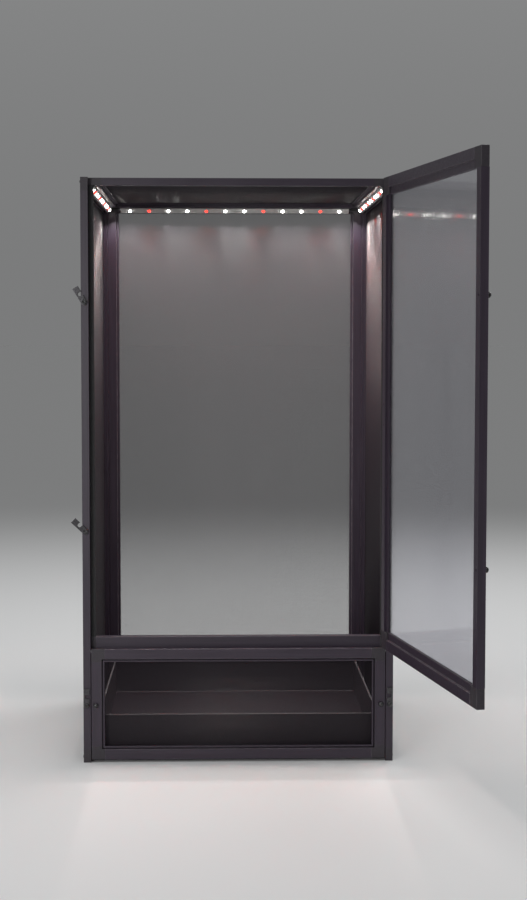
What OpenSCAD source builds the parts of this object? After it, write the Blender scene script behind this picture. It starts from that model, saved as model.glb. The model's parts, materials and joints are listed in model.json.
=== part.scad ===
// Open-air mesh cage for climbing reptiles, with a glazed front door, a mesh flap, a slide-out tray and
// three strips of white and red lamps. Lengths are in millimetres. The origin is the middle of the cage's
// footprint on the ground, +Z is up and the front faces -Y. The door is drawn standing open.

/* [Cage] */
// Width across the two side panels
cage_w = 406; // [320:1:620]
// Depth from the front posts to the back panel
cage_d = 406; // [320:1:620]
// Height of the side panels
cage_h = 762; // [680:1:1220]

/* [Frame section] */
// Thickness of a panel frame, which is a post's width seen from the front
frame_t = 9.5; // [8.5:0.5:12]
// Width of the section's hollow box
box_w = 13.5; // [12:0.5:18]
// Wall of the hollow box
frame_wall = 1.2; // [0.8:0.1:1.6]
// Width of the ledge that carries a mesh sheet
ledge_w = 3.8; // [3.2:0.1:6]
// Thickness of a ledge
ledge_t = 1.2; // [0.8:0.1:2]
// Height of a mesh ledge above the frame's inner face
mesh_seat = 6; // [4:0.1:6.5]
// Length of a corner key's tongues inside the boxes
key_tongue = 22; // [12:1:40]
// Clearance of a tongue, sheet, lead or screw in its seat
seat_fit = 0.1; // [0.05:0.05:0.2]

/* [Sheets and beads] */
// Thickness of a mesh sheet
mesh_t = 0.5; // [0.3:0.1:0.8]
// Most openings that a mesh sheet has along one side
mesh_count = 12; // [4:1:12]
// Smallest step between the openings of a mesh sheet
mesh_step = 30; // [20:1:60]
// Width of the strands between the openings of a mesh sheet
mesh_strand = 8; // [4:0.5:12]
// Dark groove between a box and the bead that holds its sheet
bead_gap = 1.4; // [0.6:0.1:2]
// Height of a mesh bead
bead_h = 2; // [1:0.1:2.2]
// Width of the ledge round the door's glazing
glaze_ledge_w = 9.5; // [6:0.5:14]
// Height of the glazing ledge above the door's inner face
glaze_seat = 4.2; // [3:0.1:4.5]
// Thickness of the acrylic sheet
acrylic_t = 3; // [2:0.5:3]
// Height of the glazing bead
glaze_bead_h = 1.6; // [1:0.1:2]

/* [Front] */
// Height of the flap's top edge
flap_top = 150; // [125:1:220]
// Height of the flap's bottom edge
flap_bottom = 4; // [2:0.5:8]
// Gap beside and above the closed door and the flap
door_gap = 1; // [0.6:0.1:2]
// Least gap that the swinging flap keeps to its neighbours
swing_clear = 0.6; // [0.4:0.1:2]
// Depth of the flap's pivot pins below its top edge
flap_pin_drop = 4; // [3.5:0.5:6]
// Radius of the flap's pivot pins
flap_pin_r = 2; // [1.5:0.1:2.4]
// Running clearance of a pin or screw in a turning piece
pin_fit = 0.06; // [0.03:0.01:0.1]
// Width of the stop strips behind the door's edges
stop_w = 6.5; // [4:0.5:10]
// Depth of the stop strips
stop_d = 6; // [4:0.5:10]
// Height of the cross rail between the door and the flap
rail_h = 20.5; // [16:0.5:26]
// Lap of the cross rail behind the flap's top edge
rail_lap = 6; // [3:0.5:10]
// Depth of the cross rail
rail_d = 11.5; // [9:0.5:20]
// Angle at which the door stands open
door_angle = 100; // [60:1:120]

/* [Hinges] */
// Number of hinges on the door
hinge_count = 3; // [2:1:4]
// Height of a hinge
hinge_h = 40; // [24:1:60]
// Distance from the door's end to the middle of its first hinge
hinge_end = 62; // [40:1:120]
// Distance of the hinge axis from the post's inner edge
hinge_inset = 3.5; // [3:0.1:5]
// Radius of a hinge knuckle
knuckle_r = 2.2; // [1.9:0.1:3]
// Radius of a hinge pin
hinge_pin_r = 1.1; // [0.8:0.1:1.3]
// Thickness of a hinge leaf
leaf_t = 1.1; // [0.8:0.1:1.5]
// Width of the leaf on the door's stile
door_leaf_w = 12; // [8:0.5:13]
// Gap between a turning piece and the face beside it
face_gap = 0.3; // [0.2:0.05:0.5]

/* [Latches] */
// Height of the door's lower latch
latch_low_z = 305; // [200:1:400]
// Height of the door's upper latch
latch_high_z = 602; // [480:1:660]
// Height of the flap's two latches
flap_latch_z = 76; // [40:1:110]
// Distance from a latch's pivot to its notch
latch_reach = 11.5; // [10:0.5:14]
// Length from a latch's pivot to its tip
latch_len = 22; // [18:0.5:30]
// Thickness of a latch
latch_t = 2; // [1.5:0.1:3]
// Metal above a latch's notch
latch_web = 2.2; // [1.5:0.1:4]
// Metal below a latch's pivot
latch_lower = 3.4; // [2.8:0.1:5]
// Angle at which the door's upper latch stands open
upper_latch_angle = 121; // [100:1:150]
// Angle at which the door's lower latch stands open
lower_latch_angle = 137; // [100:1:150]
// Angle at which the flap's latches stand open
flap_latch_angle = 90; // [88:1:120]
// Radius of a knob's neck
neck_r = 2; // [1.6:0.1:2.4]
// Clearance of a notch round a knob's neck
notch_fit = 0.4; // [0.3:0.1:0.8]
// Radius of a knob's or pivot screw's domed head
dome_r = 3.4; // [2.8:0.1:4.2]
// Height of a domed head
dome_h = 2.4; // [1.6:0.1:3]

/* [Tray] */
// Height of the tray's rim above the ground
tray_rim = 61; // [40:1:90]
// Wall and floor of the tray
tray_wall = 2.6; // [1.6:0.1:4]
// Gap beside the tray and in front of it
tray_gap = 1.5; // [1:0.1:4]
// Gap behind the tray
tray_back_gap = 6; // [2:0.5:20]
// Clearance of the tray above the floor frame
tray_run = 0.3; // [0.2:0.05:0.5]

/* [Lamps] */
// Leg of the corner channel that carries a strip
chan_leg = 8; // [7.5:0.5:13.5]
// Wall of the corner channel
chan_wall = 1.2; // [0.8:0.1:1.4]
// Gap from a side channel's ends to the back panel's channel and to the stops
chan_gap = 1.5; // [0.5:0.1:4]
// Distance from a side channel's face to the back channel's end
back_chan_gap = 12.5; // [1:0.5:20]
// Number of lamps on each strip
lamp_count = 12; // [6:3:24]
// Width of a lamp board
board_w = 9; // [7:0.5:10]
// Thickness of a lamp board
board_t = 1; // [0.6:0.1:1.6]
// Radius of a lamp's lens
lens_r = 2.5; // [1.8:0.1:3]
// Height of a lamp's lens
lens_h = 2.2; // [1.2:0.1:2.4]
// Radius of the leads between the strips
lead_r = 1; // [0.8:0.1:1.1]
// Distance from the right side panel to the controller's end
ctrl_end_gap = 33.5; // [25:0.5:90]
// Length of the controller
ctrl_len = 60; // [45:1:80]
// Height of the controller
ctrl_h = 14; // [13:0.5:20]
// Wall of the controller
ctrl_wall = 1.8; // [1.4:0.1:2.4]
// Travel of the mode switch to either side
switch_travel = 5; // [3:0.5:6]
// Radius of the power inlet's barrel
inlet_r = 4.2; // [3.8:0.1:4.5]

/* [Fasteners] */
// Radius of a panel screw's shank
screw_r = 1.5; // [1.2:0.1:1.7]
// Radius of a panel screw's head
screw_head_r = 3; // [2.4:0.1:3.6]
// Height of a panel screw's head
screw_head_h = 2; // [1.4:0.1:2.6]
// Length that a panel screw reaches past the side panel
screw_bite = 12; // [8:0.5:16]
// Radius of a small screw's shank, in the hinges
small_r = 1; // [0.8:0.1:1.2]
// Radius of a small screw's head
small_head_r = 1.8; // [1.5:0.1:2]
// Height of a small screw's head
small_head_h = 0.7; // [0.5:0.1:0.9]

/* [Hidden] */
$fn = 48;

// Colours of the finishes
satin_black = [0.25, 0.23, 0.26];
key_black = [0.21, 0.20, 0.22];
mesh_black = [0.12, 0.12, 0.13];
rubber_black = [0.07, 0.07, 0.08];
clear_grey = [0.66, 0.66, 0.72, 0.4];
nickel = [0.62, 0.62, 0.64];
dome_black = [0.10, 0.10, 0.11];
tray_black = [0.16, 0.15, 0.17];
board_white = [0.93, 0.93, 0.90];
lamp_white = [1, 1, 0.96];
lamp_red = [0.9, 0.12, 0.10];

// A cut runs this far past the face it leaves by
cut_past = 1;

// Planes of the cage
post_x = cage_w / 2 - frame_t;
inner_w = 2 * post_x;
front_y = -cage_d / 2;
front_back = front_y + frame_t;
back_in = cage_d / 2 - frame_t;
top_under = cage_h - frame_t;
front_w = inner_w - 2 * door_gap;

// The flap turns about pins near its top edge, so the door and the stops keep off that swing
flap_pin_y = front_y + frame_t / 2;
flap_pin_z = flap_top - flap_pin_drop;
flap_swing = sqrt(pow(frame_t / 2, 2) + pow(flap_pin_drop, 2));
stop_y = flap_pin_y + flap_swing + swing_clear;
door_bottom = flap_pin_z + flap_swing + swing_clear;
door_top = cage_h - door_gap;
flap_h = flap_top - flap_bottom;
door_h = door_top - door_bottom;
panel_d = back_in - stop_y;
stop_x = post_x - stop_w;
rail_z = flap_top - rail_lap;

// Hinge axis of the door, in front of the right post
hinge_x = post_x + hinge_inset;
hinge_y = front_y - knuckle_r - seat_fit;
door_edge = front_w / 2;
hinge_step = (door_h - 2 * hinge_end) / (hinge_count - 1);
hinge_heights = [for (i = [0 : hinge_count - 1]) door_bottom + hinge_end + i * hinge_step];
knuckle_h = hinge_h / 3;
post_leaf_w = frame_t - hinge_inset - seat_fit;
post_screw_share = 0.6;
post_screw_x = hinge_x + post_leaf_w * post_screw_share;
door_screw_x = door_edge - door_leaf_w / 2;
leaf_screw_z = hinge_h / 3;
bore_front = front_y - cut_past;

// Latches turn in front of the posts
pivot_x = cage_w / 2 - frame_t / 2;
latch_back = front_y - face_gap;
latch_front = latch_back - latch_t;
notch_r = neck_r + notch_fit;
latch_upper = notch_r + latch_web;
knob_x = pivot_x - latch_reach;

// Lamp strips sit in the corners under the top panel
slant = chan_leg - chan_wall * (1 + sqrt(2));
side_chan_front = stop_y + stop_d + chan_gap;
side_chan_back = back_in - chan_leg - chan_gap;
side_chan_len = side_chan_back - side_chan_front;
side_chan_mid = (side_chan_front + side_chan_back) / 2;
back_chan_len = inner_w - 2 * (chan_leg + back_chan_gap);
lead_off = chan_wall + lead_r + seat_fit;
lead_tuck = 14;

// Controller on the top panel's rear rail
ctrl_x = post_x - ctrl_end_gap - ctrl_len / 2;
ctrl_w = box_w + ledge_w / 2;
ctrl_front = back_in - ctrl_w;
ctrl_mid_y = back_in - ctrl_w / 2;
cover_t = ctrl_wall;
slot_w = 4;
stem_len = 5;
cap_over = 1.2;
cap_h = 2;
flange_t = 1;
inlet_len = 12;
inlet_bore_r = 2.8;
inlet_bore_deep = 9;
inlet_pin_r = 1;
inlet_z = cage_h + ctrl_wall + (ctrl_h - ctrl_wall - cover_t) / 2;
feed_y = back_in - lead_off - chan_wall;

// Width of a corner key for a section with the given ledge
function key_w(ledge) = box_w + ledge;

// Screw places on a side panel, as [y, z]
key_side = key_w(ledge_w);
screw_front_y = (stop_y + front_y + key_side) / 2;
screw_rear_y = (back_in + cage_d / 2 - key_side) / 2;
screw_inset = key_side - 2 * screw_r;
side_screws = [
    [screw_front_y, cage_h - frame_t / 2],
    [screw_rear_y, cage_h - frame_t / 2],
    [screw_front_y, frame_t / 2],
    [screw_rear_y, frame_t / 2],
    [cage_d / 2 - frame_t / 2, cage_h - screw_inset],
    [cage_d / 2 - frame_t / 2, screw_inset]
];

// Repeats of a shape
module both_x(w) {
    children();
    translate([w, 0, 0]) mirror([1, 0, 0]) children();
}

module both_y(h) {
    children();
    translate([0, h, 0]) mirror([0, 1, 0]) children();
}

module both_sides() {
    children();
    mirror([1, 0, 0]) children();
}

// A panel lies in X and Y from one corner, with its outer face up at frame_t
module bar_section(ledge, seat) {
    difference() {
        square([box_w, frame_t]);
        translate([frame_wall, frame_wall]) square([box_w - 2 * frame_wall, frame_t - 2 * frame_wall]);
    }
    translate([box_w - frame_wall, seat - ledge_t]) square([ledge + frame_wall, ledge_t]);
}

module bar(len, ledge, seat) {
    translate([0, len, 0]) rotate([90, 0, 0]) linear_extrude(len) bar_section(ledge, seat);
}

module stiles(w, h, ledge = ledge_w, seat = mesh_seat) {
    key = key_w(ledge);
    both_x(w) translate([0, key, 0]) bar(h - 2 * key, ledge, seat);
}

module rails(w, h, ledge = ledge_w, seat = mesh_seat) {
    key = key_w(ledge);
    both_y(h) mirror([1, -1, 0]) translate([0, key, 0]) bar(w - 2 * key, ledge, seat);
}

module tongue(key) {
    in = frame_wall + seat_fit;
    translate([in, key - in, in]) cube([box_w - 2 * in, key_tongue + in, frame_t - 2 * in]);
}

module corner_key(ledge, seat) {
    key = key_w(ledge);
    difference() {
        cube([key, key, frame_t]);
        translate([box_w, box_w, seat]) cube([key, key, frame_t]);
    }
    tongue(key);
    mirror([1, -1, 0]) tongue(key);
}

module corner_keys(w, h, ledge = ledge_w, seat = mesh_seat) {
    both_x(w) both_y(h) corner_key(ledge, seat);
}

module sheet(w, h, seat, t) {
    in = box_w + seat_fit;
    translate([in, in, seat]) cube([w - 2 * in, h - 2 * in, t]);
}

module bead(w, h, ledge, base, high) {
    out = box_w + bead_gap;
    in = key_w(ledge);
    translate([0, 0, base]) linear_extrude(high) difference() {
        translate([out, out]) square([w - 2 * out, h - 2 * out]);
        translate([in, in]) square([w - 2 * in, h - 2 * in]);
    }
}

// Openings along a side that is len long between the ledges
function openings(len) = max(1, min(mesh_count, floor((len + mesh_strand) / mesh_step)));

// Screen, drawn as a plain grid of openings that ends at the ledges
module mesh_sheet(w, h) {
    edge = key_w(ledge_w);
    cols = openings(w - 2 * edge);
    rows = openings(h - 2 * edge);
    step_x = (w - 2 * edge + mesh_strand) / cols;
    step_y = (h - 2 * edge + mesh_strand) / rows;
    difference() {
        sheet(w, h, mesh_seat, mesh_t);
        for (i = [0 : cols - 1], j = [0 : rows - 1])
            translate([edge + i * step_x, edge + j * step_y, mesh_seat - cut_past])
                cube([step_x - mesh_strand, step_y - mesh_strand, mesh_t + 2 * cut_past]);
    }
}

module mesh_bead(w, h) {
    bead(w, h, ledge_w, mesh_seat + mesh_t, bead_h);
}

// Places of the panels
module on_left() {
    translate([-post_x, cage_d / 2, 0]) rotate([0, 0, -90]) rotate([90, 0, 0]) children();
}

module on_right() {
    translate([post_x, front_y, 0]) rotate([0, 0, 90]) rotate([90, 0, 0]) children();
}

module on_back() {
    translate([inner_w / 2, back_in, 0]) rotate([0, 0, 180]) rotate([90, 0, 0]) children();
}

module on_top() {
    translate([-inner_w / 2, stop_y, top_under]) children();
}

module on_floor() {
    translate([-inner_w / 2, back_in, frame_t]) rotate([180, 0, 0]) children();
}

module on_flap() {
    translate([-front_w / 2, front_back, flap_bottom]) rotate([90, 0, 0]) children();
}

module opened() {
    translate([hinge_x, hinge_y, 0]) rotate([0, 0, door_angle]) translate([-hinge_x, -hinge_y, 0]) children();
}

module on_door() {
    translate([-front_w / 2, front_back, door_bottom]) rotate([90, 0, 0]) children();
}

// A rod along X, Y or Z
module rod_x(r, from, to, y, z) {
    translate([from, y, z]) rotate([0, 90, 0]) cylinder(r = r, h = to - from);
}

module rod_y(r, from, to, x, z) {
    translate([x, to, z]) rotate([90, 0, 0]) cylinder(r = r, h = to - from);
}

// A domed head standing on Z = 0
module dome(r, h) {
    round_r = (r * r + h * h) / (2 * h);
    intersection() {
        cylinder(r = r, h = h);
        translate([0, 0, h - round_r]) sphere(round_r);
    }
}

// A screw's shank runs up into its head, so the two are one solid
module screw(head_r, head_h, r, len) {
    dome(head_r, head_h);
    translate([0, 0, -len]) cylinder(r = r, h = len + head_h / 2);
}

// Bores in the frames
module side_screw_bores() {
    for (p = side_screws) rod_x(screw_r + seat_fit, -cage_w, cage_w, p[0], p[1]);
}

module door_latch_bores(x) {
    for (z = [latch_low_z, latch_high_z]) rod_y(screw_r + seat_fit, bore_front, front_back, x, z);
}

module flap_latch_bores(x) {
    both_sides() rod_y(screw_r + seat_fit, bore_front, front_back, x, flap_latch_z);
}

module pivot_bores() {
    door_latch_bores(-pivot_x);
    flap_latch_bores(pivot_x);
}

module flap_pin_bores(fit) {
    both_sides() rod_x(flap_pin_r + fit, stop_x - box_w, post_x + frame_t / 2, flap_pin_y, flap_pin_z);
}

module hinge_bores(x) {
    for (z = hinge_heights, side = [-1, 1])
        rod_y(small_r + seat_fit, hinge_y - knuckle_r, front_back, x, z + side * leaf_screw_z);
}

// Left side panel
module left_stiles() {
    color(satin_black) difference() {
        on_left() stiles(cage_d, cage_h);
        pivot_bores();
        flap_pin_bores(seat_fit);
    }
}

module left_rails() { color(satin_black) on_left() rails(cage_d, cage_h); }

module left_corners() {
    color(key_black) difference() {
        on_left() corner_keys(cage_d, cage_h);
        side_screw_bores();
    }
}

module left_mesh() { color(mesh_black) on_left() mesh_sheet(cage_d, cage_h); }

module left_bead() { color(satin_black) on_left() mesh_bead(cage_d, cage_h); }

// Right side panel
module right_stiles() {
    color(satin_black) difference() {
        on_right() stiles(cage_d, cage_h);
        pivot_bores();
        flap_pin_bores(seat_fit);
        hinge_bores(post_screw_x);
    }
}

module right_rails() { color(satin_black) on_right() rails(cage_d, cage_h); }

module right_corners() {
    color(key_black) difference() {
        on_right() corner_keys(cage_d, cage_h);
        side_screw_bores();
    }
}

module right_mesh() { color(mesh_black) on_right() mesh_sheet(cage_d, cage_h); }

module right_bead() { color(satin_black) on_right() mesh_bead(cage_d, cage_h); }

// Back panel
module back_stiles() { color(satin_black) on_back() stiles(inner_w, cage_h); }

module back_rails() { color(satin_black) on_back() rails(inner_w, cage_h); }

module back_corners() {
    color(key_black) difference() {
        on_back() corner_keys(inner_w, cage_h);
        side_screw_bores();
    }
}

module back_mesh() { color(mesh_black) on_back() mesh_sheet(inner_w, cage_h); }

module back_bead() { color(satin_black) on_back() mesh_bead(inner_w, cage_h); }

// Top panel
module top_stiles() { color(satin_black) on_top() stiles(inner_w, panel_d); }

module top_rails() {
    color(satin_black) difference() {
        on_top() rails(inner_w, panel_d);
        feed_bore();
    }
}

module top_corners() {
    color(key_black) difference() {
        on_top() corner_keys(inner_w, panel_d);
        side_screw_bores();
    }
}

module top_mesh() { color(mesh_black) on_top() mesh_sheet(inner_w, panel_d); }

module top_bead() { color(satin_black) on_top() mesh_bead(inner_w, panel_d); }

// Floor panel, with a solid sheet flush with the frame's underside
module floor_bars() {
    color(satin_black) on_floor() {
        stiles(inner_w, panel_d);
        rails(inner_w, panel_d);
    }
}

module floor_corners() {
    color(key_black) difference() {
        on_floor() corner_keys(inner_w, panel_d);
        side_screw_bores();
    }
}

module floor_sheet() { color(tray_black) on_floor() sheet(inner_w, panel_d, mesh_seat, frame_t - mesh_seat); }

// Cross rail behind the gap between door and flap, held between the stop strips
module cross_rail() {
    color(satin_black) translate([-stop_x, stop_y, rail_z]) difference() {
        cube([2 * stop_x, rail_d, rail_h]);
        translate([-cut_past, frame_wall, frame_wall])
            cube([2 * (stop_x + cut_past), rail_d - 2 * frame_wall, rail_h - 2 * frame_wall]);
    }
}

module rail_brackets() {
    in = frame_wall + seat_fit;
    color(key_black) both_sides() {
        translate([stop_x, stop_y, rail_z]) cube([stop_w, rail_d, rail_h]);
        translate([stop_x - key_tongue, stop_y + in, rail_z + in])
            cube([key_tongue + stop_w / 2, rail_d - 2 * in, rail_h - 2 * in]);
    }
}

module door_stops() {
    color(rubber_black) both_sides() {
        translate([stop_x, stop_y, frame_t]) cube([stop_w, stop_d, rail_z - frame_t]);
        translate([stop_x, stop_y, rail_z + rail_h]) cube([stop_w, stop_d, top_under - rail_z - rail_h]);
    }
}

// Glazed door, drawn closed and swung open about its hinges
module door_stiles() {
    color(satin_black) opened() difference() {
        on_door() stiles(front_w, door_h, glaze_ledge_w, glaze_seat);
        door_latch_bores(-knob_x);
        hinge_bores(door_screw_x);
    }
}

module door_rails() {
    color(satin_black) opened() on_door() rails(front_w, door_h, glaze_ledge_w, glaze_seat);
}

module door_corners() {
    color(key_black) opened() on_door() corner_keys(front_w, door_h, glaze_ledge_w, glaze_seat);
}

module door_acrylic() { color(clear_grey) opened() on_door() sheet(front_w, door_h, glaze_seat, acrylic_t); }

module door_bead() {
    color(satin_black) opened() on_door()
        bead(front_w, door_h, glaze_ledge_w, glaze_seat + acrylic_t, glaze_bead_h);
}

// A knob stands on the front face: a neck for the latch, a domed head and a shank into the frame
module knob(x, z) {
    neck_h = latch_t + 2 * face_gap;
    translate([x, front_y, z]) rotate([90, 0, 0]) {
        cylinder(r = neck_r, h = neck_h);
        translate([0, 0, neck_h]) dome(dome_r, dome_h);
        translate([0, 0, -frame_t / 2]) cylinder(r = screw_r, h = frame_t / 2 + neck_h);
    }
}

module door_knobs() { color(dome_black) opened() for (z = [latch_low_z, latch_high_z]) knob(-knob_x, z); }

// Mesh flap below the door, hinged at its top edge
module flap_stiles() {
    color(satin_black) difference() {
        on_flap() stiles(front_w, flap_h);
        flap_latch_bores(knob_x);
    }
}

module flap_rails() { color(satin_black) on_flap() rails(front_w, flap_h); }

module flap_corners() {
    color(key_black) difference() {
        on_flap() corner_keys(front_w, flap_h);
        flap_pin_bores(pin_fit);
    }
}

module flap_mesh() { color(mesh_black) on_flap() mesh_sheet(front_w, flap_h); }

module flap_bead() { color(satin_black) on_flap() mesh_bead(front_w, flap_h); }

module flap_knobs() { color(dome_black) both_sides() knob(knob_x, flap_latch_z); }

module flap_pins() {
    color(nickel) both_sides()
        rod_x(flap_pin_r, front_w / 2 - box_w, post_x + frame_t / 2, flap_pin_y, flap_pin_z);
}

// Hinges: each has two knuckles on the post's leaf and one on the door's leaf
module knuckle(z, h) {
    translate([hinge_x, hinge_y, z]) difference() {
        cylinder(r = knuckle_r, h = h);
        translate([0, 0, -cut_past]) cylinder(r = hinge_pin_r + pin_fit, h = h + 2 * cut_past);
    }
}

module pin_hole(z) {
    translate([hinge_x, hinge_y, z - hinge_h]) cylinder(r = hinge_pin_r + pin_fit, h = 2 * hinge_h);
}

module hinge_post_leaves() {
    middle_r = knuckle_r + face_gap;
    color(satin_black) difference() {
        for (z = hinge_heights) difference() {
            union() {
                knuckle(z - hinge_h / 2, knuckle_h);
                knuckle(z + knuckle_h / 2, knuckle_h);
                translate([hinge_x, front_y - leaf_t, z - hinge_h / 2]) cube([post_leaf_w, leaf_t, hinge_h]);
            }
            translate([hinge_x - middle_r, hinge_y - middle_r, z - knuckle_h / 2])
                cube([2 * middle_r, 2 * middle_r, knuckle_h]);
            pin_hole(z);
        }
        hinge_bores(post_screw_x);
    }
}

module hinge_door_leaves() {
    leaf_h = knuckle_h - 2 * face_gap;
    reach = hinge_x - door_edge;
    color(satin_black) opened() difference() {
        for (z = hinge_heights) difference() {
            union() {
                knuckle(z - leaf_h / 2, leaf_h);
                translate([door_edge, front_y - leaf_t, z - leaf_h / 2])
                    cube([reach, leaf_t - face_gap, leaf_h]);
                translate([door_edge - door_leaf_w, front_y - leaf_t, z - hinge_h / 2])
                    cube([door_leaf_w, leaf_t, hinge_h]);
            }
            pin_hole(z);
        }
        hinge_bores(door_screw_x);
    }
}

module small_screw(x, z) {
    translate([x, front_y - leaf_t, z]) rotate([90, 0, 0])
        screw(small_head_r, small_head_h, small_r, leaf_t + frame_t / 2);
}

module hinge_pins() {
    color(nickel) for (z = hinge_heights) translate([hinge_x, hinge_y, z - hinge_h / 2]) {
        cylinder(r = hinge_pin_r, h = hinge_h);
        translate([0, 0, hinge_h]) dome(knuckle_r, hinge_pin_r);
    }
}

module hinge_door_screws() {
    color(dome_black) opened() for (z = hinge_heights, side = [-1, 1])
        small_screw(door_screw_x, z + side * leaf_screw_z);
}

// A latch points along +X from its pivot at the origin, its notch open downwards
module latch_outline() {
    difference() {
        union() {
            circle(r = latch_lower);
            translate([0, -latch_lower]) square([latch_len, latch_lower + latch_upper]);
            intersection() {
                circle(r = latch_upper);
                translate([-latch_upper, 0]) square([latch_upper, latch_upper]);
            }
        }
        circle(r = screw_r + pin_fit);
        translate([latch_reach, 0]) circle(r = notch_r);
        intersection() {
            difference() {
                circle(r = latch_reach + notch_r);
                circle(r = latch_reach - notch_r);
            }
            translate([0, -2 * latch_reach]) square([2 * latch_reach, 2 * latch_reach]);
        }
    }
}

module latch(z, angle) {
    color(nickel) translate([-pivot_x, latch_back, z]) rotate([90, 0, 0]) rotate([0, 0, angle])
        linear_extrude(latch_t) latch_outline();
}

module upper_latch() { latch(latch_high_z, upper_latch_angle); }

module lower_latch() { latch(latch_low_z, lower_latch_angle); }

module flap_latch_left() { latch(flap_latch_z, flap_latch_angle); }

module flap_latch_right() { mirror([1, 0, 0]) latch(flap_latch_z, flap_latch_angle); }

module latch_screw(x, z) {
    translate([x, latch_front - face_gap, z]) rotate([90, 0, 0])
        screw(dome_r, dome_h, screw_r, latch_t + 2 * face_gap + frame_t / 2);
}

module latch_screws() {
    color(dome_black) {
        for (z = [latch_low_z, latch_high_z]) latch_screw(-pivot_x, z);
        both_sides() latch_screw(pivot_x, flap_latch_z);
    }
}

// Watertight tray that runs on the floor frame
module tray() {
    half = stop_x - tray_gap;
    low = frame_t + tray_run;
    front = stop_y + tray_gap;
    len = back_in - tray_back_gap - front;
    color(tray_black) translate([-half, front, low]) difference() {
        cube([2 * half, len, tray_rim - low]);
        translate([tray_wall, tray_wall, tray_wall])
            cube([2 * (half - tray_wall), len - 2 * tray_wall, tray_rim]);
    }
}

// A strip lies along Z with its corner at the origin: X runs in from the wall and Y down from the top
module laid_strip() {
    rotate([-90, 0, 0]) rotate([0, 90, 0]) children();
}

module on_back_strip() {
    translate([0, back_in, top_under]) laid_strip() children();
}

module on_right_strip() {
    translate([post_x, side_chan_mid, top_under]) rotate([0, 0, -90]) laid_strip() children();
}

module on_left_strip() {
    translate([-post_x, side_chan_mid, top_under]) rotate([0, 0, 90]) laid_strip() children();
}

module corner_channel(len) {
    translate([0, 0, -len / 2]) linear_extrude(len) difference() {
        polygon([[0, 0], [chan_leg, 0], [0, chan_leg]]);
        translate([chan_wall, chan_wall]) polygon([[0, 0], [slant - chan_wall, 0], [0, slant - chan_wall]]);
    }
}

module on_slant() {
    translate([chan_leg / 2, chan_leg / 2, 0]) rotate([0, 0, 45]) children();
}

module lamp_board(len) {
    on_slant() translate([0, -board_w / 2, -len / 2]) cube([board_t, board_w, len]);
}

module lamps(len, red) {
    pitch = len / lamp_count;
    for (i = [0 : lamp_count - 1]) if ((i % 3 == 1) == red)
        on_slant() translate([board_t, 0, (i + 0.5) * pitch - len / 2]) rotate([0, 90, 0])
            dome(lens_r, lens_h);
}

module lamp_channels() {
    color(satin_black) difference() {
        union() {
            on_back_strip() corner_channel(back_chan_len);
            on_left_strip() corner_channel(side_chan_len);
            on_right_strip() corner_channel(side_chan_len);
        }
        feed_bore();
    }
}

module lamp_boards() {
    color(board_white) {
        on_back_strip() lamp_board(back_chan_len);
        on_left_strip() lamp_board(side_chan_len);
        on_right_strip() lamp_board(side_chan_len);
    }
}

module all_lamps(red) {
    on_back_strip() lamps(back_chan_len, red);
    on_left_strip() lamps(side_chan_len, red);
    on_right_strip() lamps(side_chan_len, red);
}

module white_lamps() { color(lamp_white) all_lamps(false); }

module red_lamps() { color(lamp_red) all_lamps(true); }

// Leads round the two rear corners, and one up through the top rail into the controller
module feed_bore() {
    translate([ctrl_x, feed_y, top_under - lead_off])
        cylinder(r = lead_r + seat_fit, h = frame_t + 2 * lead_off);
}

module strip_leads() {
    x = post_x - lead_off;
    y = back_in - lead_off;
    z = top_under - lead_off;
    color(rubber_black) {
        both_sides() union() {
            rod_x(lead_r, back_chan_len / 2 - lead_tuck, x, y, z);
            rod_y(lead_r, side_chan_back - lead_tuck, y, x, z);
            translate([x, y, z]) sphere(lead_r);
        }
        translate([ctrl_x, feed_y, z]) cylinder(r = lead_r, h = frame_t + lead_off + 2 * ctrl_wall);
    }
}

// Light controller on the rear top rail: a box, its lid with a slot, a three-way slide and an inlet
module controller_body() {
    color(key_black) difference() {
        translate([ctrl_x - ctrl_len / 2, ctrl_front, cage_h]) cube([ctrl_len, ctrl_w, ctrl_h - cover_t]);
        translate([ctrl_x - ctrl_len / 2 + ctrl_wall, ctrl_front + ctrl_wall, cage_h + ctrl_wall])
            cube([ctrl_len - 2 * ctrl_wall, ctrl_w - 2 * ctrl_wall, ctrl_h]);
        feed_bore();
        rod_x(inlet_r + seat_fit, ctrl_x, ctrl_x + ctrl_len, ctrl_mid_y, inlet_z);
    }
}

module controller_cover() {
    slot_len = stem_len + 2 * switch_travel + 2 * face_gap;
    color(key_black) translate([ctrl_x, ctrl_mid_y, cage_h + ctrl_h - cover_t]) difference() {
        translate([-ctrl_len / 2, -ctrl_w / 2, 0]) cube([ctrl_len, ctrl_w, cover_t]);
        translate([-slot_len / 2, -slot_w / 2, -cut_past]) cube([slot_len, slot_w, cover_t + 2 * cut_past]);
    }
}

module mode_switch() {
    stem_w = slot_w - 2 * face_gap;
    cap_w = slot_w + 2 * cap_over;
    cap_len = stem_len + 2 * cap_over;
    color(dome_black) translate([ctrl_x, ctrl_mid_y, cage_h + ctrl_h - cover_t]) {
        translate([-cap_len / 2, -cap_w / 2, -face_gap - flange_t]) cube([cap_len, cap_w, flange_t]);
        translate([-stem_len / 2, -stem_w / 2, -face_gap - flange_t])
            cube([stem_len, stem_w, cover_t + 2 * face_gap + flange_t + cap_h]);
        translate([-cap_len / 2, -cap_w / 2, cover_t + face_gap]) cube([cap_len, cap_w, cap_h]);
    }
}

module power_inlet() {
    end_x = ctrl_x + ctrl_len / 2;
    color(dome_black) {
        difference() {
            rod_x(inlet_r, end_x - inlet_len, end_x, ctrl_mid_y, inlet_z);
            rod_x(inlet_bore_r, end_x - inlet_bore_deep, end_x + cut_past, ctrl_mid_y, inlet_z);
        }
        rod_x(inlet_pin_r, end_x - inlet_len, end_x - cut_past, ctrl_mid_y, inlet_z);
    }
}

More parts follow.
